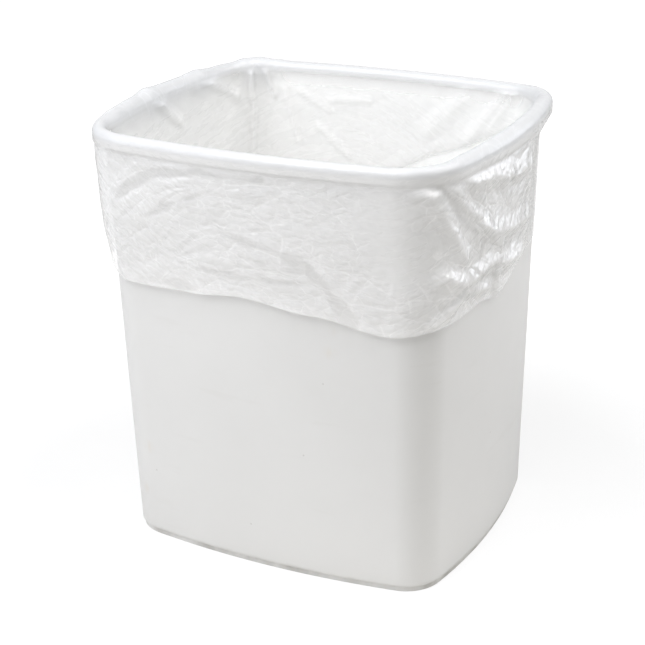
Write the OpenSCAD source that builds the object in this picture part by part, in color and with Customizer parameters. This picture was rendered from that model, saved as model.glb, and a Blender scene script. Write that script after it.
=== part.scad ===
// Open waste bin with a film liner bag. The bin is one thin-walled moulding with
// bowed, tapered sides, a foot and a rolled rim. The bag hangs inside it, turns
// over the rim and ends in a loose, creased cuff.
// Millimetres. The origin is at the middle of the foot and +Z is up. X runs along
// the long sides, and the front of the bin faces -Y.

/* [Bin size] */
// Height to the top of the rim
bin_h = 380; // [320:1:460]
// Length of the body at the top, over its bowed short sides
top_l = 333.5; // [300:0.5:380]
// Width of the body at the top, over its bowed long sides
top_w = 286; // [260:0.5:320]
// Length of the body at the base, over its bowed short sides
base_l = 315.5; // [280:0.5:350]
// Width of the body at the base, over its bowed long sides
base_w = 268; // [240:0.5:300]

/* [Bin outline] */
// Radius that the long sides bow to at the top
bow_long_top = 930; // [700:5:1400]
// Radius that the long sides bow to at the base
bow_long_base = 790; // [600:5:1400]
// Radius that the short sides bow to at the top
bow_short_top = 524; // [420:2:900]
// Radius that the short sides bow to at the base
bow_short_base = 514; // [420:2:900]
// Radius of the upright corners at the top
corner_top = 43.5; // [30:0.5:60]
// Radius of the upright corners at the base
corner_base = 36; // [26:0.5:50]

/* [Bin wall and rim] */
// Thickness of the wall, all the way round the rolled rim
wall_t = 2; // [1.5:0.1:3]
// Thickness of the floor
floor_t = 2.5; // [1.5:0.1:5]
// Radius of the fillet between the wall and the floor, inside
floor_fillet = 8; // [3:0.5:14]
// How far the rim stands out from the wall
rim_over = 9.5; // [7:0.5:14]
// Height of the rim's straight skirt, under its round crown
skirt_h = 6.5; // [3:0.5:14]

/* [Bin foot] */
// Height of the foot, up to the step round the base of the wall
foot_h = 5; // [3:0.5:9]
// How far the foot is set in from the wall, and the radius of the wall's lower edge
foot_inset = 1.8; // [0.8:0.1:4]
// Width of the ring that the bin stands on
foot_w = 4; // [2.5:0.5:8]
// Height of the hollow under the floor, inside the foot
hollow_h = 3; // [1:0.5:5]

/* [Bag] */
// Thickness of the film, drawn thicker than real film
film_t = 0.4; // [0.3:0.05:0.8]
// Clearance between the film and the bin, where it lies closest
film_gap = 0.4; // [0.3:0.05:1]
// Radius that the bag's bottom turns up with, loose inside the bin's fillet
bottom_r = 26; // [18:1:40]
// Depth of the folds that stand in from the wall, inside the bin
inside_fold = 3; // [0:0.5:10]
// Number of those folds round the bag
inside_folds = 11; // [5:1:18]
// How far the film lifts off the rim where it lies loose
rim_lift = 3; // [0:0.5:6]

/* [Bag cuff] */
// Height of the cuff, from the top of the rim down to the hem
cuff_h = 128; // [90:1:180]
// How much lower the hem hangs near the front right corner
hem_low = 11; // [0:1:30]
// How much higher the hem hangs at the front left corner
hem_high = 8; // [0:1:30]
// Height of the waves along the hem
hem_wave = 3; // [0:0.5:10]
// How far the hem stands off the wall
hem_off = 3.5; // [1:0.5:9]
// How far the cuff stands off the wall round the back right corner, where it lies close
close_off = 1.5; // [1:0.5:9]
// How far the cuff billows out between the rim and the hem
billow = 3; // [0:0.5:6]
// Depth of the slanting folds round the cuff
cuff_fold = 4; // [0:0.5:6]
// Number of those folds round the cuff
cuff_folds = 17; // [8:1:24]
// Depth of the folds that fan out below the front right corner
fan_fold = 5; // [0:0.5:7]
// Depth of the long crease that runs down across the front
crease_fold = 4; // [0:0.5:6]

/* [Hidden] */

// Steps round a quarter of the outline: half a short side, a corner, half a long side.
// The bin and the bag share them, and the crown's, so that their clearance stays even
side_steps = [7, 6, 8];
crown_steps = 6;
// Steps over the other curves of the bin's section
edge_steps = 2;
channel_steps = 4;
fillet_steps = 3;
// Steps along the bag: up its rounded bottom edge, up the wall, down the cuff
turn_steps = 3;
wall_steps = 5;
cuff_steps = 7;

// The crown of the rim is half a circle from the skirt to the inner wall
crown_r = (rim_over + wall_t) / 2;
crown_off = (rim_over - wall_t) / 2;
crown_z = bin_h - crown_r;
skirt_z = crown_z - skirt_h;
floor_z = hollow_h + floor_t;
// About the length round the top of the wall, with its corners cut to round ones
girth = 2 * (top_l + top_w) - (8 - 2 * PI) * corner_top;

// Places round the bag, in turns from the middle of the right side towards the back
front_right = 0.88;
front_left = 0.62;
crease_top = 0.745;
left_side = 0.5;
rim_right = 0.94;
back_right = 0.115;
// Share of the cuff's height over which it turns in to the wall where it lies close
close_share = 0.25;

function mix(a, b, k) = a + (b - a) * k;
function ease(k) = k * k * (3 - 2 * k);
function wave(turns) = (1 + sin(360 * turns)) / 2;
// A hill of height 1, centred on a place round the bag and falling away over w turns
function hill(u, place, w) = exp(-pow(turns_from(u, place) / w, 2));
function turns_from(u, place) = (u - place + 1.5) % 1 - 0.5;

// A point of an outline as [x, y, direction that it faces]
function arc_point(centre, r, ang) = [centre.x + r * cos(ang), centre.y + r * sin(ang), ang];

// Centre of the corner arc that runs smoothly into both bowed sides
function corner_centre(a, b, r_long, r_short, r) =
    let (
        mid_long = [0, b - r_long],
        mid_short = [a - r_short, 0],
        apart = norm(mid_short - mid_long),
        dir = (mid_short - mid_long) / apart,
        along = (pow(r_long - r, 2) - pow(r_short - r, 2) + apart * apart) / (2 * apart),
        across = sqrt(pow(r_long - r, 2) - along * along)
    )
    mid_long + along * dir + across * [dir.y, -dir.x];

// A quarter of the outline, from the middle of the right side to the middle of the back
function quarter(a, b, r_long, r_short, r) =
    let (
        mid_long = [0, b - r_long],
        mid_short = [a - r_short, 0],
        c = corner_centre(a, b, r_long, r_short, r),
        from = atan2(c.y - mid_short.y, c.x - mid_short.x),
        to = atan2(c.y - mid_long.y, c.x - mid_long.x)
    )
    concat(
        [for (i = [0 : side_steps[0] - 1]) arc_point(mid_short, r_short, from * i / side_steps[0])],
        [for (i = [0 : side_steps[1] - 1]) arc_point(c, r, mix(from, to, i / side_steps[1]))],
        [for (i = [0 : side_steps[2]]) arc_point(mid_long, r_long, mix(to, 90, i / side_steps[2]))]
    );

// The whole outline, as the quarter and its mirror images, anticlockwise from above
function outline(q) =
    let (n = len(q) - 1)
    concat(
        [for (i = [0 : n - 1]) q[i]],
        [for (i = [0 : n - 1]) [-q[n - i].x, q[n - i].y, 180 - q[n - i].z]],
        [for (i = [0 : n - 1]) [-q[i].x, -q[i].y, 180 + q[i].z]],
        [for (i = [0 : n - 1]) [q[n - i].x, -q[n - i].y, 360 - q[n - i].z]]
    );

top_line = outline(quarter(top_l / 2, top_w / 2, bow_long_top, bow_short_top, corner_top));
base_line = outline(quarter(base_l / 2, base_w / 2, bow_long_base, bow_short_base, corner_base));
count = len(top_line);

// The point off outside the tapered wall at height z, at step j of the outline
function wall_point(j, off, z) =
    let (
        k = z / bin_h,
        p = mix(base_line[j], top_line[j], k)
    )
    [p.x + off * cos(p.z), p.y + off * sin(p.z), z];

// The bin's section as [distance outside the wall, height], from under the floor,
// out to the foot, up the outside, round the rim and down the inside to the floor
bin_section = concat(
    [[-foot_inset - foot_w, hollow_h], [-foot_inset - foot_w, 0], [-foot_inset, 0]],
    [for (i = [0 : edge_steps])
        let (a = 90 * i / edge_steps)
        [foot_inset * (sin(a) - 1), foot_h + foot_inset * (1 - cos(a))]],
    [for (i = [0 : channel_steps])
        let (a = 180 - 180 * i / channel_steps)
        [crown_off + (crown_r - wall_t) * cos(a), crown_z + (crown_r - wall_t) * sin(a)]],
    [[rim_over - wall_t, skirt_z], [rim_over, skirt_z]],
    [for (i = [0 : crown_steps])
        let (a = 180 * i / crown_steps)
        [crown_off + crown_r * cos(a), crown_z + crown_r * sin(a)]],
    [for (i = [0 : fillet_steps])
        let (a = 90 * i / fillet_steps)
        [-wall_t - floor_fillet * (1 - cos(a)), floor_z + floor_fillet * (1 - sin(a))]]
);

// How far the hem hangs below the top of the rim
function hem_drop(u) =
    cuff_h + hem_low * hill(u, front_right - 0.02, 0.055) - hem_high * hill(u, front_left, 0.04)
    + hem_wave * sin(360 * 7 * u + 40);

// Folds that slant round the cuff, deepest near the hem
function slanting_folds(u, s) =
    cuff_fold * ease(s) * wave(cuff_folds * u + 1.4 * s + 0.35 * sin(360 * 5 * u));

// Folds that fan out down the right side from the rim's front right corner
function fan_folds(u, s) =
    let (
        across = turns_from(u, front_right) * girth,
        down = s * cuff_h,
        ang = atan2(across, down + cuff_h / 4)
    )
    fan_fold * ease(s) * wave(ang / 24) * hill(u, front_right + 0.06, 0.09);

// The long crease that runs down to the right across the front
function crease(u, s) =
    crease_fold * sin(180 * s) * hill(u, mix(crease_top, crease_top + 0.09, s), 0.018);

// How far outside the wall the cuff hangs, before its folds: straight down from the rim at
// the front left corner, and close to the wall round the back right one
function hang(u, s) =
    let (
        plumb = mix(rim_over, hem_off, ease(max(0, 2 * s - 1))),
        close = mix(rim_over, close_off, ease(min(1, s / close_share))),
        usual = mix(rim_over, hem_off, ease(s))
    )
    mix(mix(usual, plumb, hill(u, front_left - 0.04, 0.06)), close, hill(u, back_right, 0.06));

// How far the film stands off what it lies on, for the place u round the bag and the
// share s of the way down the cuff
function cuff_lift(u, s) =
    (1 - hill(u, back_right, 0.06)) * (billow * sin(180 * s) * wave(6 * u + 1.5 * s)
        + slanting_folds(u, s) + fan_folds(u, s) + crease(u, s));

// The same for the film inside the bin, at the share k of the way up the wall
function inside_lift(u, k) =
    inside_fold * sin(180 * k) * wave(inside_folds * u + 0.5 * k + 0.3 * sin(360 * 3 * u));

// The same over the crown of the rim: loose along the left side and the right one
function crown_lift(u, a) =
    rim_lift * sin(a) * (hill(u, left_side, 0.09) * wave(13 * u)
        + 0.7 * hill(u, rim_right, 0.05) * wave(17 * u));

// The film's path, from its bottom edge to the hem. Each station gives, for the place u,
// [distance outside the wall, height, the two parts of the way that it faces, lift]
function bottom_station(i) =
    let (a = 90 * i / turn_steps)
    [bottom_r * (sin(a) - 1) - wall_t, floor_z + bottom_r * (1 - cos(a)), -sin(a), cos(a), 0];
function wall_station(i, u) =
    let (k = i / wall_steps)
    [-wall_t, mix(floor_z + bottom_r, crown_z, k), -1, 0, inside_lift(u, k)];
function crown_station(i, u) =
    let (a = 180 - 180 * i / crown_steps)
    [crown_off + crown_r * cos(a), crown_z + crown_r * sin(a), cos(a), sin(a), crown_lift(u, a)];
function cuff_station(i, u) =
    let (s = i / cuff_steps)
    [hang(u, s), mix(skirt_z, bin_h - hem_drop(u), s), 1, 0, cuff_lift(u, s)];

// The film's path at the place u
function film_path(u) =
    concat(
        [for (i = [0 : turn_steps]) bottom_station(i)],
        [for (i = [1 : wall_steps - 1]) wall_station(i, u)],
        [for (i = [0 : crown_steps]) crown_station(i, u)],
        [for (i = [0 : cuff_steps]) cuff_station(i, u)]
    );

// A ring of film points round station i of the paths, at a clearance from what they lie on
function film_ring(paths, i, gap) = [
    for (j = [0 : count - 1])
        let (
            station = paths[j][i],
            lift = gap + station[4]
        )
        wall_point(j, station[0] + lift * station[2], station[1] + lift * station[3])
];

// A closed solid through a stack of rings with equal numbers of points, with flat ends.
// The first rings, as many as there, run out along one skin of a sheet, and the rest run
// back along the other. Both skins split their quads along the same diagonal, and so the
// skins never cross
module loft(rings, there) {
    n = len(rings[0]);
    last = (len(rings) - 1) * n;
    sides = [
        for (i = [0 : len(rings) - 2])
            for (j = [0 : n - 1])
                let (
                    a = i * n + j,
                    b = i * n + (j + 1) % n
                )
                each i < there ? [[a, a + n, b + n], [a, b + n, b]] : [[a, a + n, b], [a + n, b + n, b]]
    ];
    ends = [
        [for (j = [0 : n - 1]) j],
        [for (j = [n - 1 : -1 : 0]) last + j]
    ];
    polyhedron(points = [for (ring = rings) each ring], faces = concat(sides, ends), convexity = 6);
}

// The moulded bin, with its foot, tapered wall and rolled rim
module bin() {
    color([0.88, 0.89, 0.86])
        loft(
            [for (p = bin_section) [for (j = [0 : count - 1]) wall_point(j, p[0], p[1])]],
            len(bin_section)
        );
}

// The bag: the skin that faces the bin, out to the hem, and back along the skin that shows
module liner_bag() {
    paths = [for (j = [0 : count - 1]) film_path(j / count)];
    hem = len(paths[0]) - 1;
    color([0.93, 0.95, 0.96, 0.6])
        loft(
            concat(
                [for (i = [0 : hem]) film_ring(paths, i, film_gap)],
                [for (i = [hem : -1 : 0]) film_ring(paths, i, film_gap + film_t)]
            ),
            hem + 1
        );
}

bin();
liner_bag();
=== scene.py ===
# Looks of the lined waste bin: a white moulded bin with a milky film bag in it, whose
# creased cuff is folded over the rim. Metres, in the frame's axes: +Z up, front towards -Y.
# A place round the bin is given in turns, from the middle of the right side towards the
# back. A point on the cuff is given as (place, millimetres below the top of the rim).

from math import ceil, cos, pi, radians, sin

import bpy
import numpy as np
from mathutils import Matrix, Vector


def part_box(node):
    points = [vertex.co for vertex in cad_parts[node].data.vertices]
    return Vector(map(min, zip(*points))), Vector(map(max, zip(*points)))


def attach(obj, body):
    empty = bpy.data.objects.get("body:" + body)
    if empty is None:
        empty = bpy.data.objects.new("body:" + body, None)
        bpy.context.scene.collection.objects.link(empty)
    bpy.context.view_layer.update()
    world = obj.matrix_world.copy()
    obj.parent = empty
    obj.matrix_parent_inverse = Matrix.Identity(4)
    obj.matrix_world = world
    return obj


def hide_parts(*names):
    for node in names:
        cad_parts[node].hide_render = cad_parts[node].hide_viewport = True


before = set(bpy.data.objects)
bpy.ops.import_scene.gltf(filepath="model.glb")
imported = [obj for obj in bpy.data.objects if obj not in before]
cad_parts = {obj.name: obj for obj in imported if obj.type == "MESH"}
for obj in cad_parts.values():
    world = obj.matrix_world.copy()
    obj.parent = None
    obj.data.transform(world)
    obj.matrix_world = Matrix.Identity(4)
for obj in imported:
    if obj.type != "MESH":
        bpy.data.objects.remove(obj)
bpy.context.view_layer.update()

MM = 0.001
BIN_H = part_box("bin")[1].z

# The outline of the wall at the top and at the base, as in the source
TAPER = 9 * MM
TOP = {"half_l": 166.75 * MM, "half_w": 143 * MM, "bow_long": 930 * MM,
       "bow_short": 524 * MM, "corner": 43.5 * MM}
BASE = {"half_l": TOP["half_l"] - TAPER, "half_w": TOP["half_w"] - TAPER,
        "bow_long": 790 * MM, "bow_short": 514 * MM, "corner": 36 * MM}
# How a quarter is divided into short side, corner and long side, as in the source
QUARTER = (7, 6, 8)
SIDE_END = QUARTER[0] / sum(QUARTER)
CORNER_END = (QUARTER[0] + QUARTER[1]) / sum(QUARTER)

# The bin's section
WALL_T = 2 * MM
FLOOR_T = 2.5 * MM
FLOOR_FILLET = 8 * MM
RIM_OVER = 9.5 * MM
SKIRT_H = 6.5 * MM
FOOT_H = 5 * MM
FOOT_INSET = 1.8 * MM
FOOT_W = 4 * MM
HOLLOW_H = 3 * MM
LIP_R = 0.7 * MM
CROWN_R = (RIM_OVER + WALL_T) / 2
CROWN_OFF = (RIM_OVER - WALL_T) / 2
CROWN_Z = BIN_H - CROWN_R
SKIRT_Z = CROWN_Z - SKIRT_H
SKIRT_DOWN = BIN_H - SKIRT_Z
FLOOR_Z = HOLLOW_H + FLOOR_T
BIN_AROUND = 480

# The bag: its gap to what it lies on, its bottom's edge, the hem's distance from the wall,
# its way round, and how long it is round and from mouth to bottom when it lies flat
FILM_GAP = 0.35 * MM
BOTTOM_R = 26 * MM
HEM_OFF = 4.5 * MM
ROUND = 1.16
# How finely its mesh is laid
AROUND = 600
CUFF_ROWS = 62
SKIRT_ROWS = 4
CROWN_ROWS = 12
UPPER_ROWS = 50
UPPER_STEP = 2.6 * MM
LOWER_ROWS = 44
TURN_ROWS = 6
BOTTOM_ROWS = 12

# The cuff: how far it bellies out and how many times, and the stretch below the skirt over
# which it comes loose
BELLY = 1.6 * MM
BELLIES = 6
COMES_LOOSE = 8 * MM
# It hangs plumb at one place down to a share of its drop, lies close to the wall round
# another, and is loosest round a third, each with its spread in turns
PLUMB_PLACE, PLUMB_SPREAD = 0.575, 0.06
PLUMB_SHARE = 0.65
LYING_PLACE, LYING_SPREAD = 0.105, 0.055
LYING_OFF = 0.8 * MM
LOOSE_PLACE, LOOSE_SPREAD = 0.965, 0.08
# The film counts as fully slack where it stands so high over the rim
FULL_SLACK = 4 * MM

# The hem, as (place, drop): it was pulled down furthest round the front right corner
HEM = [(0.03, 121), (0.10, 126), (0.19, 121), (0.28, 128), (0.37, 123), (0.45, 127),
       (0.53, 122), (0.60, 118), (0.64, 129), (0.70, 127), (0.74, 123), (0.80, 130),
       (0.86, 140), (0.90, 135), (0.945, 132), (0.98, 136)]

# Bands where the cuff clings to the wall, as (place, drop, millimetres to each side)
CLING_BANDS = [
    [(0.617, 92, 0), (0.625, 74, 2), (0.637, 56, 4), (0.655, 36, 5), (0.679, 24, 4),
     (0.715, 19, 6), (0.765, 19, 1)],
    [(0.660, 68, 0), (0.672, 60, 3), (0.690, 49, 2), (0.706, 42, 4), (0.722, 34, 0)],
    [(0.728, 68, 0), (0.750, 73, 3), (0.776, 78, 3), (0.793, 85, 6), (0.807, 100, 4),
     (0.822, 116, 7), (0.832, 130, 6)],
    [(0.752, 88, 0), (0.775, 92, 3), (0.793, 94, 1)],
    [(0.690, 101, 0), (0.712, 103, 2), (0.745, 105, 1), (0.770, 104, 3), (0.800, 101, 0)],
    [(0.640, 122, 0), (0.660, 124, 2), (0.690, 122, 1), (0.722, 126, 0)],
    [(0.890, 15, 2), (0.902, 34, 4), (0.916, 52, 3), (0.930, 66, 0)],
    [(0.932, 64, 1), (0.940, 76, 5), (0.936, 92, 1)],
    [(0.955, 98, 1), (0.963, 106, 5), (0.968, 118, 2)],
    [(0.895, 118, 2), (0.915, 112, 5), (0.935, 116, 1)],
]
# Ridges of the loose folds round the front right corner and the right side, with heights
RIDGES = [
    ([(0.881, 16), (0.897, 48), (0.914, 80)], 3.6 * MM),
    ([(0.901, 16), (0.920, 36), (0.945, 64)], 4.0 * MM),
    ([(0.91, 13), (0.95, 24), (0.985, 32), (0.02, 34)], 5.0 * MM),
    ([(0.935, 60), (0.965, 74), (0.01, 82), (0.03, 84)], 5.0 * MM),
    ([(0.895, 92), (0.92, 104), (0.95, 98), (0.985, 108), (0.02, 112)], 4.4 * MM),
    ([(0.89, 130), (0.92, 112), (0.96, 122)], 3.4 * MM),
    ([(0.97, 84), (0.975, 130)], 4.0 * MM),
]
# The valley that hangs between two of them like a smile
SMILE = [(0.902, 15), (0.928, 41), (0.972, 56), (0.01, 56), (0.045, 40)]

# How high the film stands over the rim, as (place, millimetres): it is loose along the
# left side and along the right one
OVER_RIM = [(0.0, 3.4), (0.08, 3.0), (0.115, 2.0), (0.14, 0.3), (0.345, 0.3), (0.36, 1.6),
            (0.376, 3.6), (0.386, 3.4), (0.397, 1.0), (0.42, 1.4), (0.446, 4.4), (0.465, 3.0),
            (0.495, 3.8), (0.517, 6.0), (0.535, 3.4), (0.575, 2.8), (0.60, 1.0), (0.615, 0.2),
            (0.86, 0.2), (0.89, 1.2), (0.92, 2.6), (0.96, 3.2)]
# Folds inside, as (place, drop) points: how high each stands and how wide its foot is
INSIDE_FOLDS = [
    ([(0.383, 2), (0.383, 34)], 2.6 * MM, 5 * MM),
    ([(0.371, 2), (0.360, 32)], 2.4 * MM, 5 * MM),
    ([(0.381, 30), (0.384, 110)], 1.4 * MM, 5 * MM),
    ([(0.517, 4), (0.503, 16), (0.478, 36)], 3.2 * MM, 9 * MM),
    ([(0.446, 4), (0.425, 14), (0.399, 30)], 2.8 * MM, 8 * MM),
    ([(0.218, 52), (0.181, 15)], 1.6 * MM, 14 * MM),
    ([(0.180, 56), (0.143, 4)], 1.8 * MM, 11 * MM),
    ([(0.161, 42), (0.137, 4)], 1.5 * MM, 8 * MM),
    ([(0.351, 24), (0.337, 74)], 1.2 * MM, 6 * MM),
    ([(0.337, 25), (0.309, 42)], 1.2 * MM, 6 * MM),
    ([(0.309, 32), (0.271, 29)], 1.0 * MM, 6 * MM),
    ([(0.319, 58), (0.290, 85)], 1.2 * MM, 6 * MM),
]
# The middle line of the cuff's smooth patch, and how far the patch reaches from it
SMOOTH_LINE = [(0.852, 30), (0.868, 80)]
SMOOTH_REACH = 22 * MM
# Inside, the film lies clear on the wall below this line, between two places, and turns
# milky again further down
CLEAR_BELOW = [(0.09, 16), (0.128, 26), (0.158, 44), (0.187, 59), (0.215, 70), (0.245, 88)]
CLEAR_EDGE = 10 * MM
CLEAR_FROM = (0.07, 0.09)
CLEAR_TO = (0.24, 0.27)
CLEAR_FADE = (125 * MM, 215 * MM)

# The film's creases, as ((plate across, plate along), slant, seed, height, what the loose
# place adds to the height), with the sizes in millimetres
WIDE = ((58, 40), 0.5, 11, 0.5, 0.5)
MIDDLE = ((34, 17), -0.6, 23, 0.28, 0.4)
SMALL = ((17, 9), 0.5, 37, 0.13, 0)
FINE = ((8, 5), -0.3, 53, 0.06, 0)
OVER_THE_RIM = ((9, 70), 0.2, 71, 0.5, 0)
# The share of that height which is left inside the bin
CALM_INSIDE = 0.4
# The length of the plates' pattern in metres, and the row of it at which the hem lies
PATTERN_LENGTH = 2.0
PATTERN_START = 40

# Small dark specks on the front and the right side, and faint stains
SPECKS = [(0.060, -0.136, 0.189), (0.040, -0.136, 0.119), (-0.014, -0.135, 0.040),
          (0.160, -0.013, 0.109), (-0.113, -0.128, 0.068), (0.165, -0.063, 0.316)]
STAINS = [(0.068, -0.137, 0.240), (0.067, -0.136, 0.218), (-0.120, -0.127, 0.090),
          (-0.126, -0.124, 0.045)]

# Camera, fitted to the bin's edges in the photo, with its angles in radians
CAMERA_AZIMUTH = radians(26.79)
CAMERA_HEIGHT = radians(22.66)
CAMERA_ROLL = -0.0207
CAMERA_DISTANCE = 1.4281
CAMERA_ASIDE = -0.0073
CAMERA_TARGET_Z = 0.1813
LENS = 88.09
SENSOR = 36

# Lamps, aimed at the middle of the bin, as (name, degrees from the front towards the right,
# degrees of height, edge in metres, watts, colour)
WHITE = (1, 1, 1)
COOL = (0.95, 0.98, 1.05)
LAMP_DISTANCE = 1.8
LAMPS = [
    ("lamp_front", -15, 60, 1.4, 26.5, WHITE),
    ("lamp_front_left", -43, 45, 1.4, 9.5, COOL),
    ("lamp_low_left", -43, 15, 0.8, 5.4, COOL),
    ("lamp_right", 100, 50, 1.4, 20, WHITE),
    ("lamp_low_right", 140, 12, 1.0, 8, COOL),
]

# The floor: half its side, its colour for the light that it throws back, and its colour
# and glow for the camera, the glow as (near, far, strength near, strength far)
FLOOR_HALF = 6.0
FLOOR_BOUNCE = (0.8, 0.785, 0.755, 1)
FLOOR_DIM = (0.22, 0.22, 0.22, 1)
FLOOR_GLOW = (0.3, 0.8, 0.79, 1.0)
# How bright the world is in reflections
REFLECTED_WORLD = 0.75

# Colours of the plastic and of what lies on it
PLASTIC_DARK = (0.747, 0.743, 0.731, 1)
PLASTIC_PALE = (0.767, 0.763, 0.751, 1)
# The inside is painted paler: painted light for the light that comes in through the thin walls and
# bounces round inside
PLASTIC_INSIDE_PAINTED_LIGHT = (0.965, 0.965, 0.955, 1)
SCUFF = (0.60, 0.58, 0.54, 1)
SPECK = (0.40, 0.38, 0.35, 1)
STAIN = (0.70, 0.62, 0.50, 1)
FOOT_DARKENING = (0.42, 0.41, 0.38, 1)
# How strong the marks are, the radius and the soft edge of a speck and of a stain, and the
# heights at which the darkening along the foot begins and is full
SCUFF_SHARE = 0.08
SPECK_SHARE = 0.35
STAIN_SHARE = 0.3
SPECK_SIZE = (0.6 * MM, 0.5 * MM)
STAIN_SIZE = (1 * MM, 7 * MM)
FOOT_DARKENING_TOP = 9 * MM
FOOT_DARKENING_FULL = 4 * MM
# Colours of the film where it is thin, milky, and bunched over the rim; the last is also painted
# shade, which dims the crown where the lamps light it most
FILM_THIN = (0.955, 0.95, 0.945, 1)
FILM_MILKY = (0.978, 0.977, 0.975, 1)
FILM_BUNCHED_AND_SHADE = (0.73, 0.74, 0.76, 1)
# How opaque the film is without haze and with full haze, the share of it that is left where
# the film lies clear, and the haze below which that sets in
THIN_ALPHA = 0.27
MILKY_ALPHA = 0.60
CLEAR_SHARE = 0.08
CLEAR_HAZE = 0.25
# What a crease line, a fold's crest and the film on the rim, bunched and painted with shade, add
# to that
LINE_ALPHA = 0.11
SMALL_LINE_SHARE = 0.3
CREST_ALPHA = 0.14
BUNCHED_AND_SHADE_ALPHA = 0.15
# The film's facets, as (facets per metre, stretch along the creases, slope of their relief)
LARGE_FACETS = (58.0, 0.5, 0.10)
MIDDLE_FACETS = (125.0, 0.5, 0.11)
SMALL_FACETS = (260.0, 0.7, 0.035)
# The swirl that bends those patterns: its waves per metre and how far it moves them
SWIRL_SCALE = 90.0
SWIRL = 5 * MM
# Streaks in the film's gloss, in waves per metre, the roughness between which they lie, and
# what the film on the rim, bunched and painted with shade, adds to it
STREAKS = (30.0, 30.0, 180.0)
ROUGHNESS = (0.22, 0.34)
BUNCHED_AND_SHADE_ROUGHNESS = 0.35


def mix(a, b, k):
    """The value that lies the share k of the way from a to b."""
    return a + (b - a) * k


def ease(k):
    """A smooth step from 0 to 1, as k goes from 0 to 1."""
    k = np.clip(k, 0, 1)
    return k * k * (3 - 2 * k)


def between(value, start, end):
    """A smooth step from 0 at the start to 1 at the end."""
    return ease((value - start) / (end - start))


def around(place, middle):
    """How far places lie from a middle one, in turns, from -0.5 to 0.5."""
    return (place - middle + 0.5) % 1 - 0.5


def bell(place, middle, width):
    """A hill of height 1 over the places round the bag, centred on one of them."""
    return np.exp(-(around(place, middle) / width) ** 2)


def corner_arc(size):
    """Centre of the corner arc, and the angles at which it meets the short and long side."""
    mid_long = np.array([0, size["half_w"] - size["bow_long"]])
    mid_short = np.array([size["half_l"] - size["bow_short"], 0])
    reach_long = size["bow_long"] - size["corner"]
    reach_short = size["bow_short"] - size["corner"]
    apart = np.linalg.norm(mid_short - mid_long)
    way = (mid_short - mid_long) / apart
    along = (reach_long ** 2 - reach_short ** 2 + apart ** 2) / (2 * apart)
    across = np.sqrt(reach_long ** 2 - along ** 2)
    centre = mid_long + along * way + across * np.array([way[1], -way[0]])
    start = np.arctan2(centre[1] - mid_short[1], centre[0] - mid_short[0])
    end = np.arctan2(centre[1] - mid_long[1], centre[0] - mid_long[0])
    return centre, start, end


def outline_at(turn, size):
    """Points of an outline and the way they face, as x, y, facing x and facing y."""
    turn = np.asarray(turn) % 1
    quarter = np.floor(turn * 4)
    share = turn * 4 - quarter
    share = np.where(quarter % 2 == 1, 1 - share, share)
    centre, start, end = corner_arc(size)
    on_side = share < SIDE_END
    on_long = share > CORNER_END
    face = np.select(
        [on_side, on_long],
        [start * share / SIDE_END, mix(end, pi / 2, (share - CORNER_END) / (1 - CORNER_END))],
        mix(start, end, (share - SIDE_END) / (CORNER_END - SIDE_END)))
    radius = np.select([on_side, on_long], [size["bow_short"], size["bow_long"]], size["corner"])
    from_x = np.select([on_side, on_long], [size["half_l"] - size["bow_short"], 0], centre[0])
    from_y = np.select([on_side, on_long], [0, size["half_w"] - size["bow_long"]], centre[1])
    left = np.where((quarter == 1) | (quarter == 2), -1, 1)
    front = np.where(quarter >= 2, -1, 1)
    return (left * (from_x + radius * np.cos(face)), front * (from_y + radius * np.sin(face)),
            left * np.cos(face), front * np.sin(face))


def even_turns(count):
    """Outline places at which points lie evenly round the top of the wall."""
    count_fine = 8400
    fine = np.arange(count_fine) / count_fine
    x, y, _, _ = outline_at(fine, TOP)
    steps = np.hypot(np.diff(x, append=x[0]), np.diff(y, append=y[0]))
    reached = np.concatenate([[0], np.cumsum(steps)])
    return np.interp(np.arange(count) / count * reached[-1], reached, np.append(fine, 1))


def wall_points(turn, off, z):
    """Points off outside the tapered wall at height z, in the last axis."""
    top = outline_at(turn, TOP)
    base = outline_at(turn, BASE)
    k = z / BIN_H
    x, y, face_x, face_y = (mix(b, t, k) for b, t in zip(base, top))
    length = np.hypot(face_x, face_y)
    return np.stack([x + off * face_x / length, y + off * face_y / length, z + 0 * x], -1)


def arc(centre_off, centre_z, radius, start, end, steps):
    """A stretch of section as (distance outside the wall, height), angles in degrees."""
    angles = np.radians(np.linspace(start, end, steps + 1))
    return [(centre_off + radius * cos(a), centre_z + radius * sin(a)) for a in angles]


def straight(start, end, steps):
    """The points between two section points, without them."""
    return [(mix(start[0], end[0], k), mix(start[1], end[1], k))
            for k in (np.arange(1, steps) / steps)]


def bin_section():
    """The bin's section, from under the floor, up the outside, round the rim and down.

    The last number of each arc and straight is into how many steps it is divided."""
    foot_in = -FOOT_INSET - FOOT_W
    inner_r = CROWN_R - WALL_T
    lip = RIM_OVER - WALL_T / 2
    under = [(foot_in, HOLLOW_H), (foot_in, LIP_R)]
    under += arc(foot_in + LIP_R, LIP_R, LIP_R, 180, 270, 3)
    under += arc(-FOOT_INSET - LIP_R, LIP_R, LIP_R, 270, 360, 3)
    step = [(-FOOT_INSET, FOOT_H * 0.5)]
    step += arc(-FOOT_INSET, FOOT_H + FOOT_INSET, FOOT_INSET, 270, 360, 6)
    wall = straight(step[-1], (0, CROWN_Z), 24)
    channel = arc(CROWN_OFF, CROWN_Z, inner_r, 180, 0, 12)
    skirt = arc(lip, SKIRT_Z + WALL_T / 2, WALL_T / 2, 180, 360, 8)
    crown = arc(CROWN_OFF, CROWN_Z, CROWN_R, 0, 180, 24)
    inside = straight(crown[-1], (-WALL_T, FLOOR_Z + FLOOR_FILLET), 24)
    fillet = arc(-WALL_T - FLOOR_FILLET, FLOOR_Z + FLOOR_FILLET, FLOOR_FILLET, 0, -90, 8)
    return under + step + wall + channel + skirt + crown + inside + fillet


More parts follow.
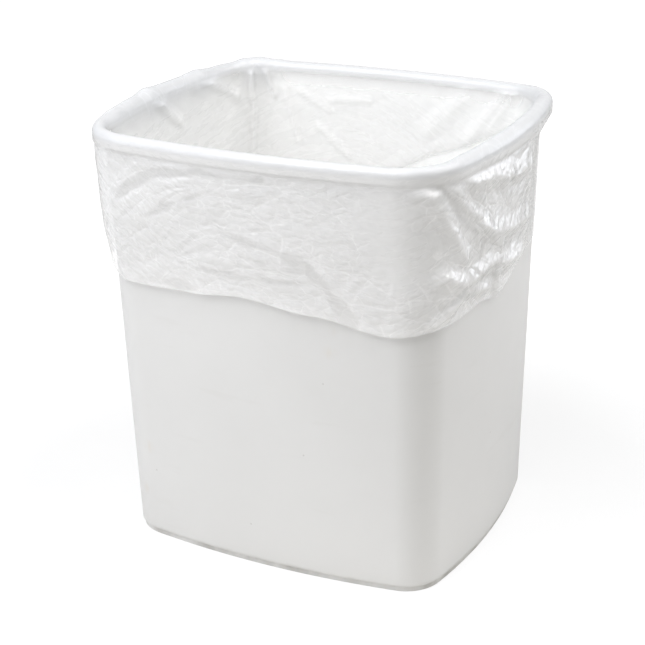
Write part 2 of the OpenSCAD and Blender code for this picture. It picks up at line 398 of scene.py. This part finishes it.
def smooth_object(name, points, faces, sharp=radians(50)):
    """A mesh object with smooth shading, apart from edges sharper than an angle."""
    mesh = bpy.data.meshes.new(name)
    mesh.from_pydata(points.tolist(), [], faces)
    mesh.shade_smooth()
    mesh.set_sharp_from_angle(angle=sharp)
    made = bpy.data.objects.new(name, mesh)
    bpy.context.scene.collection.objects.link(made)
    return made


def make_bin():
    """The bin as one fine, smooth skin, from the same outline and section as its solid.

    Its layer "inner" is 1 on the inside of the walls and on the floor."""
    turns = even_turns(BIN_AROUND)
    section = bin_section()
    rings = [wall_points(turns, off, z) for off, z in section]
    points = np.concatenate(rings)
    j = np.arange(BIN_AROUND)
    faces = [list(range(BIN_AROUND))[::-1]]
    for i in range(len(rings) - 1):
        a = i * BIN_AROUND + j
        b = i * BIN_AROUND + (j + 1) % BIN_AROUND
        faces += np.stack([a, b, b + BIN_AROUND, a + BIN_AROUND], 1).tolist()
    faces.append(list(range(len(points) - BIN_AROUND, len(points))))
    made = smooth_object("bin_moulding", points, faces)
    edge = 1 * MM
    inner = [i > len(section) / 2 and off < 0 and HOLLOW_H + edge < z < CROWN_Z - edge
             for i, (off, z) in enumerate(section)]
    layer = made.data.attributes.new("inner", "FLOAT", "POINT")
    layer.data.foreach_set("value", np.repeat(inner, BIN_AROUND).astype(np.float32))
    return made


def envelope(grid_x, grid_y, seed, count_x, rows):
    """The top of many tilted, slightly domed plates, one for each cell of a loose grid."""
    tilt, step, dome = 0.55, 0.25, 0.28
    rng = np.random.default_rng(seed)
    place_x, place_y = rng.uniform(0.1, 0.9, (2, count_x, rows))
    tilt_x, tilt_y = rng.uniform(-tilt, tilt, (2, count_x, rows))
    height = rng.uniform(-step, step, (count_x, rows))
    cell_x = np.floor(grid_x).astype(int)
    cell_y = np.floor(grid_y).astype(int)
    best = np.full(grid_x.shape, -1e9)
    for di in range(-2, 3):
        for dj in range(-2, 3):
            i = (cell_x + di) % count_x
            j = (cell_y + dj) % rows
            dx = grid_x - (cell_x + di) - place_x[i, j]
            dy = grid_y - (cell_y + dj) - place_y[i, j]
            plate = height[i, j] + tilt_x[i, j] * dx + tilt_y[i, j] * dy
            best = np.maximum(best, plate - dome * (dx * dx + dy * dy))
    return best


def crumple(across, along, cell, slant, seed):
    """Creases of film that was crushed and pulled flat again, about -1 to 1 high.

    They are the difference of two layers of plates, warped and shifted against each other.
    The pattern closes round the bag and is longer than the film."""
    cell_x, cell_y = cell[0] * MM, cell[1] * MM
    count_x = round(ROUND / cell_x)
    rows = ceil(PATTERN_LENGTH / cell_y)
    grid_x = across / ROUND * count_x + slant * along / cell_x
    grid_y = along / cell_y + PATTERN_START
    warp = 0.35 * np.sin(2.1 * grid_y + 1.3 * np.sin(grid_x * 2 * pi / count_x * 7))
    folds = (envelope(grid_x + warp, grid_y, seed, count_x, rows)
             - envelope(grid_x + 0.37 - warp, grid_y + 0.59, seed + 1, count_x, rows))
    return folds / np.abs(folds).mean() / 2.2


def distance_to(path, place, down):
    """Distance of film points from a line through (place, drop) points, in metres.

    Where the points have a third value, it is the line's reach to each side in millimetres,
    which is taken off."""
    nearest = np.full(np.broadcast(place, down).shape, 1e9)
    for start, end in zip(path, path[1:]):
        x = around(place, start[0]) * ROUND
        y = down - start[1] * MM
        to_x = around(end[0], start[0]) * ROUND
        to_y = (end[1] - start[1]) * MM
        k = np.clip((x * to_x + y * to_y) / (to_x ** 2 + to_y ** 2), 0, 1)
        reach = mix(start[2], end[2], k) * MM if len(start) > 2 else 0
        nearest = np.minimum(nearest, np.hypot(x - k * to_x, y - k * to_y) - reach)
    return nearest


def along_path(path, width, place, down):
    """1 along a line through (place, drop) points, and 0 away from it."""
    return np.exp(-(distance_to(path, place, down) / width) ** 2)


def smooth_through(line, place):
    """Values of a closed line of (place, value) points, in smooth steps from one to the next."""
    at, value = np.array(line + [(line[0][0] + 1, line[0][1])]).T
    u = (place - at[0]) % 1 + at[0]
    i = np.clip(np.searchsorted(at, u, side="right") - 1, 0, len(at) - 2)
    return mix(value[i], value[i + 1], ease((u - at[i]) / (at[i + 1] - at[i]))) * MM


def cuff_offset(place, down):
    """How far the cuff stands outside the wall, before its creases."""
    below = down - SKIRT_DOWN
    share = np.clip(below / (smooth_through(HEM, place) - SKIRT_DOWN), 0, 1)
    hang = mix(RIM_OVER, HEM_OFF, ease(share))
    hang += BELLY * np.sin(pi * share) * (
        0.6 + 0.4 * np.sin(2 * pi * (BELLIES * place + share)))
    plumb = mix(RIM_OVER - 1 * MM, HEM_OFF, between(share, PLUMB_SHARE, 1))
    hang = mix(hang, plumb, bell(place, PLUMB_PLACE, PLUMB_SPREAD))
    lying = mix(RIM_OVER, LYING_OFF, ease(below / (18 * MM)))
    return mix(hang, lying, lying_close(place))


def lying_close(place):
    """1 round the back right corner, where the cuff lies on the wall, and 0 elsewhere."""
    return np.exp(-(around(place, LYING_PLACE) / LYING_SPREAD) ** 4)


def clinging(place, down, ragged):
    """How closely the cuff clings to the wall, from 0 to 1, in bands with ragged edges."""
    cling = np.zeros(np.broadcast(place, down).shape)
    for path in CLING_BANDS:
        away = distance_to(path, place, down) + 2.2 * MM * ragged
        cling = np.maximum(cling, 1 - ease(away / (4 * MM) + 0.5))
    return cling


def right_folds(place, down):
    """Flat-sided folds of the loose film round the front right corner, and its valley."""
    height = np.zeros(np.broadcast(place, down).shape)
    for path, top in RIDGES:
        height = np.maximum(height, top - 0.4 * distance_to(path, place, down))
    valley = along_path(SMILE, 7 * MM, place, down)
    return height * (1 - valley) * (1 - lying_close(place))


def inside_folds(place, down):
    """Height of the folds of the film inside the bin."""
    height = np.zeros(np.broadcast(place, down).shape)
    for path, top, foot in INSIDE_FOLDS:
        away = distance_to(path, place, down)
        height = np.maximum(height, top * (1 - ease(away / foot)))
    return height


def film_rows(place):
    """The film's path as rows from the hem up, over the rim, down inside and to the middle.

    Each is a dict: the name of its part, off and z of what the film lies on over the places
    round the bag, the way the film faces (out, up) and the ring's shrink towards the middle.
    Its share says how far along its part a row lies, or for the inside its depth in metres."""
    hem = smooth_through(HEM, place)
    one = np.ones_like(place)
    rows = []

    def add(part, share, off, z, out, up, shrink=1.0):
        rows.append({"part": part, "share": share, "off": off * one, "z": z * one,
                     "out": out, "up": up, "shrink": shrink})

    for i in range(CUFF_ROWS):
        share = 1 - i / CUFF_ROWS
        add("cuff", share, 0.0, mix(SKIRT_Z, BIN_H - hem, share), 1, 0)
    for i in range(SKIRT_ROWS):
        add("skirt", 0, RIM_OVER, mix(SKIRT_Z, CROWN_Z, i / SKIRT_ROWS), 1, 0)
    for i in range(CROWN_ROWS + 1):
        share = i / CROWN_ROWS
        out, up = cos(pi * share), sin(pi * share)
        add("crown", share, CROWN_OFF + CROWN_R * out, CROWN_Z + CROWN_R * up, out, up)
    for i in range(1, UPPER_ROWS + 1):
        depth = i * UPPER_STEP
        add("inside", depth, -WALL_T, CROWN_Z - depth, -1, 0)
    upper = UPPER_ROWS * UPPER_STEP
    bottom = CROWN_Z - FLOOR_Z - BOTTOM_R
    for i in range(1, LOWER_ROWS + 1):
        depth = mix(upper, bottom, i / LOWER_ROWS)
        add("inside", depth, -WALL_T, CROWN_Z - depth, -1, 0)
    for i in range(1, TURN_ROWS + 1):
        share = i / TURN_ROWS
        out, up = -cos(pi / 2 * share), sin(pi / 2 * share)
        off = -WALL_T - BOTTOM_R * (1 + out)
        add("turn", share, off, FLOOR_Z + BOTTOM_R * (1 - up), out, up)
    for i in range(1, BOTTOM_ROWS + 1):
        share = i / BOTTOM_ROWS
        add("bottom", share, -WALL_T - BOTTOM_R, FLOOR_Z, 0, 1, 1 - 0.97 * share)
    return rows


def row_array(rows, key):
    """One value of all rows, as an array over rows and places."""
    return np.array([np.broadcast_to(r[key], rows[0]["z"].shape) for r in rows])


def smooth_patch(place, down):
    """1 where the cuff is drawn smooth round the front right corner, and 0 elsewhere."""
    return np.exp(-(distance_to(SMOOTH_LINE, place, down) / SMOOTH_REACH) ** 4)


def clear_patch(place, down):
    """1 where the film inside lies clear on the wall, and 0 elsewhere."""
    places, drops = zip(*CLEAR_BELOW)
    below = down - np.interp(place, places, np.array(drops) * MM)
    return (between(below, 0, CLEAR_EDGE) * (1 - between(down, *CLEAR_FADE))
            * between(place, *CLEAR_FROM) * (1 - between(place, *CLEAR_TO)))


def loose_cuff(down):
    """0 at the skirt's lower edge, and 1 where the cuff below it has come loose."""
    return np.clip((down - SKIRT_DOWN) / COMES_LOOSE, 0, 1)


def looseness(part, place, down, share, slack):
    """How loose the film is, from 0 where it is pulled tight to about 1."""
    cuff = (loose_cuff(down) * (1 - 0.85 * smooth_patch(place, down))
            * (1 - 0.6 * lying_close(place)))
    at_rim = 0.06 + 0.5 * slack
    return np.select(
        [part == "cuff", part == "skirt", part == "crown", part == "inside", part == "bottom"],
        [cuff, 0.05 + 0.1 * slack, at_rim, mix(at_rim, 0.6, between(share, 0, 40 * MM)),
         0.5 * (1 - share) ** 2], 0.5)


def calmness(part):
    """The share of the creases' height that is left: less inside the bin."""
    return np.where(part == "inside", CALM_INSIDE, 1)


def film_creases(part, across, along, right):
    """The heights of the creases, and a wavy value that makes a clinging band's edge ragged.

    The creases go from wide to fine and mostly lie across the cuff. Over the rim they are
    wrinkles that run across it."""
    kinds = (WIDE, MIDDLE, SMALL, FINE)
    waves = [crumple(across, along, *kind[:3]) for kind in kinds]
    heights = sum((height + extra * right) * wave
                  for (*_, height, extra), wave in zip(kinds, waves))
    over = OVER_THE_RIM[3] * crumple(across, along, *OVER_THE_RIM[:3])
    at_rim = (part == "crown") | (part == "skirt")
    heights = MM * np.where(at_rim, over, calmness(part) * heights)
    return heights, (1 - 0.8 * right) * (waves[1] + 0.8 * waves[2])


def standing_off(part, place, down, share, clear):
    """How far the film stands off what it lies on, before its creases."""
    standing = smooth_through(OVER_RIM, place)
    cuff = cuff_offset(place, down) + right_folds(place, down) * loose_cuff(down)
    crown = standing * np.sin(pi * mix(0.08, 0.72, np.clip(share, 0, 1)))
    sag = MM * (0.6 + np.clip(share / (60 * MM), 0, 1)) * (1 - 0.8 * clear)
    inside = 0.77 * standing * np.exp(-(share / (18 * MM)) ** 2) + sag
    inside = inside + inside_folds(place, down)
    return np.select([part == "cuff", part == "crown", part == "inside"],
                     [cuff, crown, inside], 0.3 * MM + 0.25 * standing)


def crest_layer(part, place, down):
    """1 along the crests of the folds inside, and a little less on the cuff's ridges."""
    inside = np.max([along_path(path, 1.8 * MM, place, down) for path, *_ in INSIDE_FOLDS], 0)
    cuff = sum(along_path(path, 1.5 * MM, place, down) for path, _ in RIDGES)
    return np.select([part == "inside", part == "cuff"], [inside, 0.8 * np.minimum(cuff, 1)], 0)


def rolled_layer(part, share, slack):
    """How bunched the film is on the crown and just inside it, with painted shade on the crown.

    On the crown it is at least 0.6, also where the film is taut, and highest where the highlights
    fall, at 1/4 and 3/4 of its turn: there it is painted shade that dims the brightly lit crown."""
    crown = mix(0.6, 0.75, slack)
    crown = crown + 0.4 * (1 - slack) * np.sin(2 * pi * np.clip(share, 0, 1)) ** 2
    inside = 0.75 * slack * np.exp(-(share / (14 * MM)) ** 2)
    return np.select([part == "crown", part == "inside"], [crown, inside], 0)


def haze_before_clinging(part, place, down, loose, slack, lift):
    """How milky the film is by how far it stands off, where it neither clings nor is clear."""
    cuff = 0.72 + 0.03 * lift / MM + 0.25 * smooth_patch(place, down)
    at_rim = (part == "skirt") | (part == "crown")
    return np.select([part == "cuff", at_rim], [cuff, 0.65 + 0.3 * slack],
                     0.6 * np.minimum(loose / 0.6, 1) + 0.04 * lift / MM)


def pattern_places(rows, part, place, along):
    """The places on the film laid out as a ring, slanted one way and the other."""
    turn = 2 * pi * place
    sway = 40 * MM * np.sin(2 * turn + 1) + 8 * MM * np.sin(5 * turn + 2)
    ring = ROUND / (2 * pi) * row_array(rows, "shrink")
    wound = np.where(part == "bottom", along[-BOTTOM_ROWS - 1], along)
    return [np.stack([ring * np.cos(turn), ring * np.sin(turn), height], -1)
            for height in (wound + sway, wound - sway)]


def film_surface(turns, place):
    """Points of the film, row by row, with layers of values for its material.

    haze is how milky the film looks, crease how crumpled it is, crest where a fold's edge
    shows white, the bunched film's layer where it is bunched over the rim and painted with shade
    on the crown, and lay the place on the film laid out, as a ring, so that a pattern on it runs
    round without a seam. across_lay slants the other way, for creases that cross."""
    rows = film_rows(place)
    part = np.array([r["part"] for r in rows])[:, None]
    off, z, out, up = (row_array(rows, k) for k in ("off", "z", "out", "up"))
    share = row_array(rows, "share").astype(float)
    place = np.broadcast_to(place, z.shape)
    down = BIN_H - z
    flat = wall_points(turns, off, z)
    steps = np.linalg.norm(np.diff(flat, axis=0), axis=2).mean(1)
    along = np.broadcast_to(np.concatenate([[0], np.cumsum(steps)])[:, None], z.shape)

    # How loose and slack the film is, its creases, and where it lies clear or clings
    right = bell(place, LOOSE_PLACE, LOOSE_SPREAD)
    slack = np.clip(smooth_through(OVER_RIM, place) / FULL_SLACK, 0, 1)
    loose = looseness(part, place, down, share, slack)
    creases, ragged = film_creases(part, place * ROUND, along, right)
    clear = np.where(part == "inside", clear_patch(place, down), 0)
    cling = np.where(part == "cuff", clinging(place, down, ragged), 0)
    held = (1 - 0.5 * cling) * (1 - clear)

    # A soft limit keeps the creases from going through what the film lies on
    stand = standing_off(part, place, down, share, clear) + loose * held * creases
    lift = FILM_GAP + (stand + np.sqrt(stand ** 2 + (0.5 * MM) ** 2)) / 2
    points = wall_points(turns, off + lift * out, z + lift * up)
    points[..., :2] *= row_array(rows, "shrink")[..., None]

    lay, across_lay = pattern_places(rows, part, place, along)
    return rows, points, {
        "haze": ease(haze_before_clinging(part, place, down, loose, slack, lift) * held),
        "crease": loose * held * calmness(part) * (1 + 0.8 * right * (part == "cuff")) + 0.06,
        "crest": crest_layer(part, place, down),
        # Bunched film over the rim, and painted shade on the crown
        "rolled": rolled_layer(part, share, slack),
        "lay": lay, "across_lay": across_lay}


def bag_faces(rows):
    """Faces between the rows, with fewer points round lower down and in the bottom."""
    skip = []
    for r in rows:
        if r["part"] == "inside" and r["share"] > UPPER_ROWS * UPPER_STEP + 1e-6:
            skip.append(2)
        elif r["part"] == "turn":
            skip.append(2)
        elif r["part"] == "bottom":
            skip.append(4 if r["share"] < 0.6 else 8)
        else:
            skip.append(1)
    faces = []
    for i in range(len(rows) - 1):
        step = skip[i + 1]
        j = np.arange(0, AROUND, step)
        a = i * AROUND + j
        b = i * AROUND + (j + step) % AROUND
        if skip[i] == step:
            faces += np.stack([a, b, b + AROUND, a + AROUND], 1).tolist()
            continue
        m = i * AROUND + j + step // 2
        faces += np.stack([a, m, a + AROUND], 1).tolist()
        faces += np.stack([m, b + AROUND, a + AROUND], 1).tolist()
        faces += np.stack([m, b, b + AROUND], 1).tolist()
    last = (len(rows) - 1) * AROUND
    faces.append((last + np.arange(0, AROUND, skip[-1])).tolist())
    return faces


def make_bag():
    """The bag as one open sheet of film."""
    turns = even_turns(AROUND)
    place = np.arange(AROUND) / AROUND
    rows, points, layers = film_surface(turns, place)
    faces = bag_faces(rows)
    points = points.reshape(-1, 3)
    used = np.unique(np.concatenate([np.asarray(f) for f in faces]))
    renumber = np.zeros(len(points), int)
    renumber[used] = np.arange(len(used))
    faces = [renumber[f].tolist() for f in faces]
    made = smooth_object("bag_film", points[used], faces, sharp=pi)
    for name, values in layers.items():
        kind, field = ("FLOAT_VECTOR", "vector") if values.ndim == 3 else ("FLOAT", "value")
        layer = made.data.attributes.new(name, kind, "POINT")
        values = values.reshape(AROUND * len(rows), -1)[used]
        layer.data.foreach_set(field, values.ravel().astype(np.float32))
    return made


def new_material(name):
    """A node material, its node tree and its Principled shader."""
    material = bpy.data.materials.new(name)
    material.use_nodes = True
    tree = material.node_tree
    return material, tree, tree.nodes["Principled BSDF"]


def give(tree, sockets, values):
    """Fills each input with its value, or links it to the output given for it."""
    for socket, value in zip(sockets, values):
        if isinstance(value, bpy.types.NodeSocket):
            tree.links.new(value, socket)
        else:
            socket.default_value = value


def add_node(tree, kind, inputs=(), **settings):
    """A node with its settings, and its inputs as values or as other nodes' outputs."""
    node = tree.nodes.new(kind)
    for key, value in settings.items():
        setattr(node, key, value)
    inputs = dict(inputs)
    give(tree, [node.inputs[key] for key in inputs], inputs.values())
    return node


def stretched(tree, scale):
    """Object coordinates, scaled along each axis."""
    coordinates = add_node(tree, "ShaderNodeTexCoord")
    mapping = add_node(tree, "ShaderNodeMapping", {
        "Vector": coordinates.outputs["Object"], "Scale": scale})
    return mapping.outputs["Vector"]


def noise(tree, vector, scale, detail):
    node = add_node(tree, "ShaderNodeTexNoise", {
        "Vector": vector, "Scale": scale, "Detail": detail})
    return node.outputs["Fac"]


def ramp(tree, value, low, high, to_low=0.0, to_high=1.0):
    """A value from low to high turned into one from to_low to to_high."""
    node = add_node(tree, "ShaderNodeMapRange", {
        "Value": value, "From Min": low, "From Max": high, "To Min": to_low, "To Max": to_high})
    return node.outputs["Result"]


def calculate(tree, operation, a, b):
    node = add_node(tree, "ShaderNodeMath", operation=operation)
    give(tree, node.inputs, (a, b))
    return node.outputs["Value"]


def blend_colours(tree, factor, a, b):
    node = add_node(tree, "ShaderNodeMix", data_type="RGBA")
    give(tree, (node.inputs["Factor"], node.inputs[6], node.inputs[7]), (factor, a, b))
    return node.outputs[2]


def marks(tree, places, radius, soft):
    """1 on small marks at places in metres, and 0 beyond them."""
    point = stretched(tree, (1, 1, 1))
    found = 0.0
    for place in places:
        away = add_node(tree, "ShaderNodeVectorMath", {0: point, 1: place},
                        operation="DISTANCE").outputs["Value"]
        found = calculate(tree, "MAXIMUM", found, ramp(tree, away, radius + soft, radius))
    return found


def plastic_material():
    """Satin off-white moulded plastic with faint mottling, scuffs, specks and stains, darker
    towards the foot, and painted paler inside as painted light for the light that its thin walls
    let in.
    """
    material, tree, shader = new_material("moulded_plastic")
    even = stretched(tree, (1, 1, 1))
    mottle = noise(tree, even, 9, 4)
    scuffs = noise(tree, stretched(tree, (1, 1, 6)), 16, 3)
    outer = blend_colours(tree, ramp(tree, mottle, 0.35, 0.65), PLASTIC_DARK, PLASTIC_PALE)
    outer = blend_colours(tree, ramp(tree, scuffs, 0.64, 0.74, 0, SCUFF_SHARE), outer, SCUFF)
    specks = calculate(tree, "MULTIPLY", marks(tree, SPECKS, *SPECK_SIZE), SPECK_SHARE)
    outer = blend_colours(tree, specks, outer, SPECK)
    blotches = noise(tree, stretched(tree, (1, 1, 0.3)), 140, 2)
    stains = calculate(tree, "MULTIPLY", marks(tree, STAINS, *STAIN_SIZE),
                       ramp(tree, blotches, 0.4, 0.7, 0, STAIN_SHARE))
    outer = blend_colours(tree, stains, outer, STAIN)
    inner = add_node(tree, "ShaderNodeAttribute", attribute_name="inner").outputs["Fac"]
    # The inside of the walls and the floor are painted paler, as painted light for the light that
    # the thin walls let in
    base = blend_colours(tree, inner, outer, PLASTIC_INSIDE_PAINTED_LIGHT)
    height = add_node(tree, "ShaderNodeSeparateXYZ", {"Vector": even}).outputs["Z"]
    # Darker towards the foot, in patches
    near_foot = calculate(tree, "MULTIPLY", ramp(tree, height, FOOT_DARKENING_TOP, FOOT_DARKENING_FULL),
                          ramp(tree, noise(tree, even, 35, 3), 0.4, 0.7, 0.1, 0.9))
    tree.links.new(blend_colours(tree, near_foot, base, FOOT_DARKENING), shader.inputs["Base Color"])
    tree.links.new(ramp(tree, noise(tree, even, 25, 4), 0.3, 0.7, 0.36, 0.48),
                   shader.inputs["Roughness"])
    grain = calculate(tree, "ADD", noise(tree, even, 900, 2),
                      calculate(tree, "MULTIPLY", noise(tree, even, 14, 2), 6.0))
    bump = add_node(tree, "ShaderNodeBump", {
        "Strength": 0.25, "Distance": 0.1 * MM, "Height": grain})
    tree.links.new(bump.outputs["Normal"], shader.inputs["Normal"])
    shader.inputs["Specular IOR Level"].default_value = 0.45
    return material


def facets(tree, vector, scale, stretch, slope):
    """Creases with flat facets between them: the creases as broken lines, 1 along them and
    0 elsewhere, and the facets' relief in metres, so steep as slope."""
    mapped = add_node(tree, "ShaderNodeMapping", {
        "Vector": vector, "Scale": (scale * stretch, scale * stretch, scale)}).outputs["Vector"]
    edge = add_node(tree, "ShaderNodeTexVoronoi", {
        "Vector": mapped, "Scale": 1.0, "Randomness": 1.0},
        feature="DISTANCE_TO_EDGE").outputs["Distance"]
    lines = calculate(tree, "MULTIPLY", ramp(tree, edge, 0.06, 0.0),
                      ramp(tree, noise(tree, mapped, 0.6, 1), 0.45, 0.6))
    return lines, calculate(tree, "MULTIPLY", edge, slope / scale)


def film_alpha(tree, haze, crease, crest, rolled, lines):
    """How opaque the film is: by its haze, and more along its creases and crests."""
    alpha = ramp(tree, haze, 0, 1, THIN_ALPHA, MILKY_ALPHA)
    for value, extra in ((calculate(tree, "MULTIPLY", crease, lines), LINE_ALPHA),
                         (crest, CREST_ALPHA), (rolled, BUNCHED_AND_SHADE_ALPHA)):
        alpha = calculate(tree, "ADD", alpha, calculate(tree, "MULTIPLY", value, extra))
    return calculate(tree, "MULTIPLY", alpha, ramp(tree, haze, 0, CLEAR_HAZE, CLEAR_SHARE, 1))


def film_material():
    """Thin milky film: clear where it clings, milky where it stands off, glossy in its creases."""
    material, tree, shader = new_material("milky_film")
    haze, crease, crest, rolled = (
        add_node(tree, "ShaderNodeAttribute", attribute_name=name).outputs["Fac"]
        for name in ("haze", "crease", "crest", "rolled"))
    lay, across_lay = (
        add_node(tree, "ShaderNodeAttribute", attribute_name=name).outputs["Vector"]
        for name in ("lay", "across_lay"))
    swirl = add_node(tree, "ShaderNodeTexNoise", {
        "Vector": lay, "Scale": SWIRL_SCALE, "Detail": 2.0}).outputs["Color"]
    centred = add_node(tree, "ShaderNodeVectorMath", {0: swirl, 1: (0.5, 0.5, 0.5)},
                       operation="SUBTRACT").outputs["Vector"]
    shifted, across_shifted = (
        add_node(tree, "ShaderNodeVectorMath", {0: centred, 1: (SWIRL, SWIRL, SWIRL), 2: vector},
                 operation="MULTIPLY_ADD").outputs["Vector"]
        for vector in (lay, across_lay))

    large_lines, large = facets(tree, shifted, *LARGE_FACETS)
    middle_lines, middle = facets(tree, across_shifted, *MIDDLE_FACETS)
    small_lines, small = facets(tree, shifted, *SMALL_FACETS)
    relief = calculate(tree, "ADD", calculate(tree, "ADD", large, middle), small)
    bump = add_node(tree, "ShaderNodeBump", {
        "Strength": 1.0, "Distance": 1.0, "Height": calculate(tree, "MULTIPLY", relief, crease)})
    tree.links.new(bump.outputs["Normal"], shader.inputs["Normal"])
    tree.links.new(bump.outputs["Normal"], shader.inputs["Coat Normal"])

    lines = calculate(tree, "MAXIMUM", large_lines, middle_lines)
    lines = calculate(tree, "MAXIMUM", lines,
                      calculate(tree, "MULTIPLY", small_lines, SMALL_LINE_SHARE))
    tree.links.new(film_alpha(tree, haze, crease, crest, rolled, lines), shader.inputs["Alpha"])
    milky = blend_colours(tree, haze, FILM_THIN, FILM_MILKY)
    # Greyer over the rim: partly bunched film, partly painted shade on the crown
    tree.links.new(blend_colours(tree, rolled, milky, FILM_BUNCHED_AND_SHADE), shader.inputs["Base Color"])
    streaks = noise(tree, add_node(tree, "ShaderNodeMapping", {
        "Vector": across_shifted, "Scale": STREAKS}).outputs["Vector"], 1.0, 2)
    rough = calculate(tree, "ADD", ramp(tree, streaks, 0.3, 0.7, *ROUGHNESS),
                      calculate(tree, "MULTIPLY", rolled, BUNCHED_AND_SHADE_ROUGHNESS))
    tree.links.new(rough, shader.inputs["Roughness"])
    shader.inputs["Specular IOR Level"].default_value = 1.0
    shader.inputs["IOR"].default_value = 1.6
    shader.inputs["Coat Weight"].default_value = 0.5
    shader.inputs["Coat Roughness"].default_value = 0.1
    return material


def floor_material():
    """A pale floor that looks white and shows the shadow on it, and is plain white far off."""
    material, tree, shader = new_material("pale_floor")
    output = tree.nodes["Material Output"]
    tree.nodes.remove(shader)
    seen = add_node(tree, "ShaderNodeLightPath").outputs["Is Camera Ray"]
    distance = add_node(tree, "ShaderNodeVectorMath", {0: stretched(tree, (1, 1, 1))},
                        operation="LENGTH").outputs["Value"]
    plain = add_node(tree, "ShaderNodeBsdfDiffuse", {"Color": FLOOR_BOUNCE})
    dim = add_node(tree, "ShaderNodeBsdfDiffuse", {"Color": FLOOR_DIM})
    glow = add_node(tree, "ShaderNodeEmission", {
        "Color": (1, 1, 1, 1), "Strength": ramp(tree, distance, *FLOOR_GLOW)})
    lit = add_node(tree, "ShaderNodeAddShader", {0: dim.outputs[0], 1: glow.outputs[0]})
    chosen = add_node(tree, "ShaderNodeMixShader", {
        "Fac": seen, 1: plain.outputs[0], 2: lit.outputs[0]})
    tree.links.new(chosen.outputs[0], output.inputs["Surface"])
    return material


def make_floor():
    corners = [(-1, -1, 0), (1, -1, 0), (1, 1, 0), (-1, 1, 0)]
    points = FLOOR_HALF * np.array(corners)
    floor = smooth_object("floor", points, [[0, 1, 2, 3]])
    floor.data.materials.append(floor_material())


def make_world():
    """White to the camera and pale in reflections. It sheds no light on the object itself."""
    world = bpy.data.worlds.new("studio")
    bpy.context.scene.world = world
    world.use_nodes = True
    tree = world.node_tree
    path = add_node(tree, "ShaderNodeLightPath")
    reflected = calculate(tree, "MULTIPLY", path.outputs["Is Glossy Ray"], REFLECTED_WORLD)
    seen = calculate(tree, "MAXIMUM", path.outputs["Is Camera Ray"], reflected)
    tree.nodes["Background"].inputs["Color"].default_value = (1, 1, 1, 1)
    tree.links.new(seen, tree.nodes["Background"].inputs["Strength"])


def make_lamp(name, azimuth, height, size, power, colour):
    """A soft square lamp that looks at the middle of the bin."""
    light = bpy.data.lights.new(name, "AREA")
    light.color = colour
    light.size = size
    light.energy = power
    lamp = bpy.data.objects.new(name, light)
    bpy.context.scene.collection.objects.link(lamp)
    a, e = radians(azimuth), radians(height)
    back = Vector((sin(a) * cos(e), -cos(a) * cos(e), sin(e)))
    lamp.location = Vector((0, 0, BIN_H / 2)) + back * LAMP_DISTANCE
    lamp.rotation_mode = "QUATERNION"
    lamp.rotation_quaternion = (-back).to_track_quat("-Z", "Y")


def make_camera():
    """The camera that was fitted to the photo."""
    back = Vector((sin(CAMERA_AZIMUTH) * cos(CAMERA_HEIGHT),
                   -cos(CAMERA_AZIMUTH) * cos(CAMERA_HEIGHT), sin(CAMERA_HEIGHT)))
    aside = Vector((cos(CAMERA_AZIMUTH), sin(CAMERA_AZIMUTH), 0))
    above = back.cross(aside)
    target = CAMERA_ASIDE * aside + Vector((0, 0, CAMERA_TARGET_Z))
    right = cos(CAMERA_ROLL) * aside + sin(CAMERA_ROLL) * above
    up = cos(CAMERA_ROLL) * above - sin(CAMERA_ROLL) * aside
    data = bpy.data.cameras.new("camera")
    data.lens = LENS
    data.sensor_width = SENSOR
    camera = bpy.data.objects.new("camera", data)
    bpy.context.scene.collection.objects.link(camera)
    turned = Matrix((right, up, back)).transposed().to_4x4()
    camera.matrix_world = Matrix.Translation(target + back * CAMERA_DISTANCE) @ turned
    bpy.context.scene.camera = camera


make_camera()

bin_piece = make_bin()
bin_piece.data.materials.append(plastic_material())
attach(bin_piece, "root")
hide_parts("bin")

bag = make_bag()
bag.data.materials.append(film_material())
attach(bag, "root")
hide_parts("liner_bag")

make_floor()
make_world()
for lamp in LAMPS:
    make_lamp(*lamp)
# Light passes the film and bounces behind it many times
bpy.context.scene.cycles.diffuse_bounces = 12
bpy.context.scene.cycles.transparent_max_bounces = 16
bpy.context.scene.view_settings.view_transform = "Standard"
